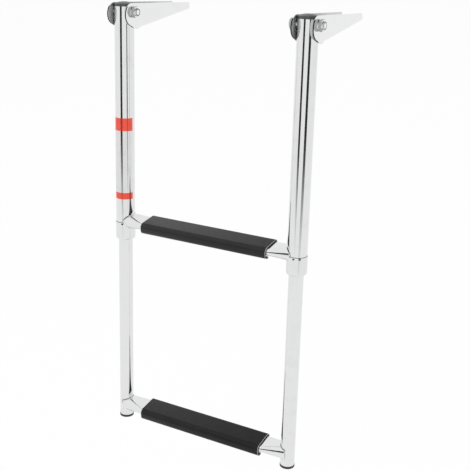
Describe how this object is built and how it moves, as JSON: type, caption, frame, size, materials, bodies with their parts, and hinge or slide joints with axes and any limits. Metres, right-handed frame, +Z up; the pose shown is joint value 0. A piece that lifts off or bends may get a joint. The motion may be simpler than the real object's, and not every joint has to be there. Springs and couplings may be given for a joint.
{
  "type": "telescopic boat ladder",
  "caption": "Two-step telescopic stainless boat ladder that hangs from a pair of platform brackets, slides together and swings up over the deck.",
  "frame": {"origin": "on the underside of the left bracket's base, midway between its two bolt holes", "axes": "+Z up, +X along the treads from the left bracket to the right one, -Y out over the water, +Y in over the platform"},
  "size_m": [0.2987, 0.2303, 0.5813],
  "materials": {
    "polished_tube": "mirror-polished stainless steel",
    "polished_collar": "turned and polished stainless steel",
    "polished_tread": "polished stainless steel tube, pressed flat",
    "polished_sheet": "folded and polished stainless sheet",
    "fastener": "bright stainless fasteners",
    "cap_plastic": "moulded dark grey plastic",
    "bush_plastic": "natural nylon",
    "tread_rubber": "ribbed charcoal tread cover"
  },
  "bodies": {
    "brackets": {"left_bracket": "polished_sheet", "left_pivot_bolt": "fastener", "left_washer": "fastener", "left_lock_nut": "fastener", "right_bracket": "polished_sheet", "right_pivot_bolt": "fastener", "right_washer": "fastener", "right_lock_nut": "fastener"},
    "upper_section": {"left_outer_tube": "polished_tube", "left_top_cap": "cap_plastic", "left_collar": "polished_collar", "left_guide_bush": "bush_plastic", "right_outer_tube": "polished_tube", "right_top_cap": "cap_plastic", "right_collar": "polished_collar", "right_guide_bush": "bush_plastic", "upper_tread_tube": "polished_tread", "upper_tread_cover": "tread_rubber"},
    "lower_section": {"left_inner_tube": "polished_tube", "left_slide_bush": "bush_plastic", "left_foot_cap": "cap_plastic", "right_inner_tube": "polished_tube", "right_slide_bush": "bush_plastic", "right_foot_cap": "cap_plastic", "lower_tread_tube": "polished_tread", "lower_tread_cover": "tread_rubber"}
  },
  "joints": [
    {"name": "ladder_swing", "type": "hinge", "parent": "brackets", "child": "upper_section", "pos_m": [0.128, -0.072, 0.0227], "axis": [-1, 0, 0], "range_deg": [0, 261.8]},
    {"name": "lower_section_slide", "type": "slide", "parent": "upper_section", "child": "lower_section", "axis": [0, 0.1426, 0.9898], "range_m": [0, 0.232]}
  ]
}
